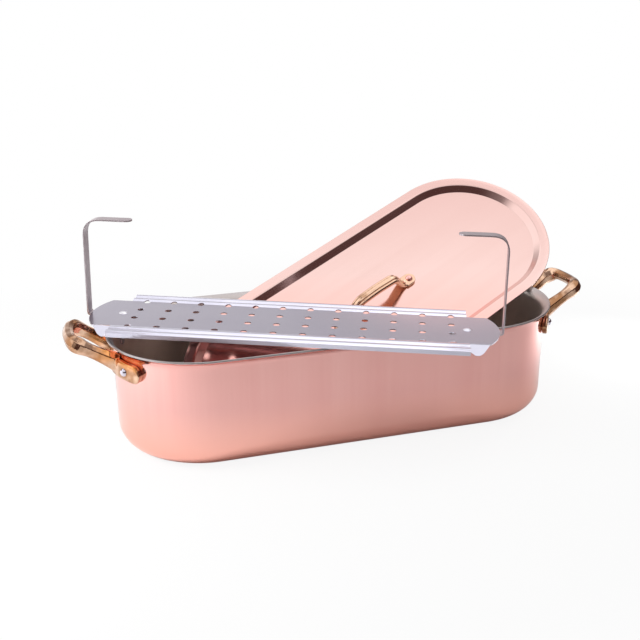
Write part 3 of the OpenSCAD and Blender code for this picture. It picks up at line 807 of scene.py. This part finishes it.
rivet_steel = brushed_steel("handle_rivet_steel", STEEL_GREY, STRAP_BRIGHT, 0.10, (0, 0, 0), PLAIN)
for name, end, side in (("right_front_rivet", 0, -1), ("right_rear_rivet", 0, 1),
                        ("left_front_rivet", math.pi, 1), ("left_rear_rivet", math.pi, -1)):
    place = (Matrix.Rotation(end, 4, "Z") @ Matrix.Translation((STRAIGHT / 2, 0, 0))
             @ Matrix.Rotation(side * PAD_RIVET_ANGLE, 4, "Z") @ Matrix.Translation((PAD_R, 0, PAD_Z))
             @ Matrix.Rotation(math.pi / 2, 4, "Y"))
    show(name + "_dome", rivet(place, PAD_GRIP), "kettle", name, rivet_steel)

rivet_copper = sheet_copper("lid_rivet_copper", PAN_TONES, lid_turn, PLAIN)
for name, side in (("lid_left_rivet", -1), ("lid_right_rivet", 1)):
    foot_top = Matrix.Translation((side * RIVET_SPAN / 2, 0, FOOT_T - LID_DROP + SEAT_GAP))
    bm = rivet(lid_place @ foot_top, LID_GRIP)
    show(name + "_dome", bm, "lid", name, rivet_copper)

# %% [markdown]
# ## The rack
# Plate and straps are bent sheet with crisp edges, which the CAD meshes already show. They only get their
# finish: brushed along the rack's own length, which the Mapping node is turned to. The straps are duller
# than the plate, and the rivets paler.

# %% Rack finishes
rack_steel = brushed_steel("rack_sheet_steel", STEEL_BRIGHT, STEEL_GREY, 0.16, rack_turn)
strap_steel = brushed_steel("strap_steel", STRAP_BRIGHT, STRAP_GREY, 0.30, rack_turn)
rack_rivet = brushed_steel("rack_rivet_steel", RIVET_BRIGHT, STEEL_BRIGHT, 0.34, rack_turn, PLAIN)
for node, steel in (("rack_plate", rack_steel),
                    ("rack_left_strap", strap_steel), ("rack_right_strap", strap_steel),
                    ("rack_left_rivet", rack_rivet), ("rack_right_rivet", rack_rivet)):
    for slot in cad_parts[node].material_slots:
        slot.material = steel
    print(node, "keeps its CAD mesh")

# %% [markdown]
# ## Table
# The kettle stands on pale paper. To the camera the paper is nearly all glow, so that it ends in the
# white of the backdrop and keeps only a faint shadow, which fades away from the kettle. The metal sees it
# as plain paper under the lamps, and the upright walls mirror it.

# %% Table
TABLE_R = 0.75
TABLE_SIDES = 64
PAPER = (0.80, 0.80, 0.80)
SHADOW_SHARE = 0.10
SHADOW_R = 0.42
FADED_R = 0.72

table_bm = bmesh.new()
bmesh.ops.create_circle(table_bm, cap_ends=True, segments=TABLE_SIDES, radius=TABLE_R)
table = make_object("studio_table", table_bm)
paper = Finish(bpy.data.materials.new("table_paper"))
paper.surface(Base_Color=(*PAPER, 1), Roughness=0.9)
glow = paper.node("Emission", None, {"Color": (*WHITE, 1), "Strength": 1.0})
spot = paper.node("TexCoord", out="Object")
away = paper.node("VectorMath", {"operation": "LENGTH"}, {0: spot}, "Value")
fade = paper.step(away + 0.02 * paper.noise(scale=30), SHADOW_R, FADED_R)
seen = paper.ray("Camera") * ((1 - SHADOW_SHARE) + SHADOW_SHARE * fade)
plain = Signal(paper, paper.tree.nodes["Principled BSDF"].outputs[0])
paper.send(paper.node("MixShader", None, {0: seen, 1: plain, 2: glow}), "Material Output")
table.data.materials.append(paper.owner)
print("table", TABLE_R, "m in radius")

# %% [markdown]
# ## Room
# Polished metal is a picture of its room, so the world shows the metal a studio that the camera never
# sees. Its walls brighten towards the left and the back, and the front stays dark and warm. A softbox on
# the left shows in the right end of the lid's step, a bright band of ceiling in the tilted steel, and a
# low haze at the back in the rack's plate. To the camera the world is white, and the rest of its light is
# an even fill.

# %% Room
DARK_FRONT = (0.07, 0.021, 0.018)
BRIGHT_LEVEL = 1.5
FILL_LEVEL = 0.46
HAZE_LEVEL = 0.12
WALL_DARKEST = 0.03
# How bright the ceiling is at each height of the direction.
CEILING = [(0.28, 0.02), (0.52, 0.32), (0.64, 0.90), (0.84, 0.90), (0.94, 0.30)]

world = bpy.data.worlds.new("studio")
bpy.context.scene.world = world
sky = Finish(world)


def backdrop(colour, strength):
    return sky.node("Background", None, {"Color": (*colour, 1), "Strength": strength})


across, behind, height = (sky.axis(letter, "Generated") for letter in "XYZ")
left_and_back = sky.step(0.5 - 0.35 * across + 0.3 * behind, 0.45, 0.85)
walls = WALL_DARKEST + (1 - WALL_DARKEST) * left_and_back
ceiling = sky.node("ValToRGB", {"stops": CEILING}, {"Fac": height}, "Color")
upper = sky.step(height, 0.08, 0.42)
haze = sky.step(behind, 0.3, 0.8) * (1 - sky.step(height, 0.40, 0.50))
softbox = sky.step(0.35 * behind - across, 0.62, 0.76)
room = upper * ceiling + (1 - upper) * walls + HAZE_LEVEL * haze
mirrored = sky.node("MixShader", None, {
    0: softbox + (1 - softbox) * room,
    1: backdrop(DARK_FRONT, 1.0),
    2: backdrop(WHITE, BRIGHT_LEVEL)})
bounced = sky.ray("Glossy") + sky.ray("Transmission")
lit = sky.node("MixShader", None, {0: bounced, 1: backdrop(WHITE, FILL_LEVEL), 2: mirrored})
final = sky.node("MixShader", None, {0: sky.ray("Camera"), 1: lit, 2: backdrop(WHITE, 1.0)})
sky.send(final, "World Output")
print("room with", len(CEILING), "ceiling stops")

# %% [markdown]
# ## Lamps
# A wide panel overhead lights the table and shows in the lid. The other two are hidden from reflections:
# they only brighten the table beside the pan's ends, which the pan then mirrors.

# %% Lamps


def panel(name, place, aim, size, power):
    lamp = bpy.data.objects.new(name, bpy.data.lights.new(name, "AREA"))
    lamp.data.size = size
    lamp.data.energy = power
    lamp.location = place
    lamp.rotation_euler = (Vector(aim) - Vector(place)).to_track_quat("-Z", "Y").to_euler()
    bpy.context.collection.objects.link(lamp)
    print(name, power, "W")
    return lamp


panel("overhead_panel", place=(0.38, 0.2, 1.9), aim=(0.38, 0.2, 0), size=1.5, power=6.3)
left_panel = panel("left_panel", place=(-0.75, 0.0, 0.5), aim=(-0.42, -0.07, 0), size=0.4, power=6.4)
left_panel.visible_glossy = False
right_panel = panel("right_panel", place=(0.50, 0.10, 0.12), aim=(0.38, -0.04, 0), size=0.1, power=0.6)
right_panel.visible_glossy = False
right_panel.visible_camera = False

# %% [markdown]
# ## Camera
# The camera stands a metre in front and a little to the left, looking down by twenty degrees, with the
# small roll that the picture has. These values were fitted to the outlines in the photograph.

# %% Camera
AZIMUTH = math.radians(-16.67)
ELEVATION = math.radians(20.02)
ROLL = math.radians(0.48)
CAMERA_AT = Vector((-305.4, -956.0, 480.6)) * MM
FOCAL_PIXELS = 939.15
IMAGE_PIXELS = 640
SENSOR_WIDTH = 36

level = math.cos(ELEVATION)
towards = Vector((math.sin(AZIMUTH) * level, -math.cos(AZIMUTH) * level, math.sin(ELEVATION)))
right = (-towards).cross(UP).normalized()
stand = from_axes(right, towards.cross(right), towards, CAMERA_AT)
lens = bpy.data.cameras.new("camera")
lens.sensor_width = SENSOR_WIDTH
lens.lens = SENSOR_WIDTH * FOCAL_PIXELS / IMAGE_PIXELS
camera = bpy.data.objects.new("camera", lens)
camera.matrix_world = stand @ Matrix.Rotation(-ROLL, 4, "Z")
bpy.context.collection.objects.link(camera)
bpy.context.scene.camera = camera
bpy.context.scene.view_settings.view_transform = "Standard"
print("lens", round(lens.lens, 2), "mm")
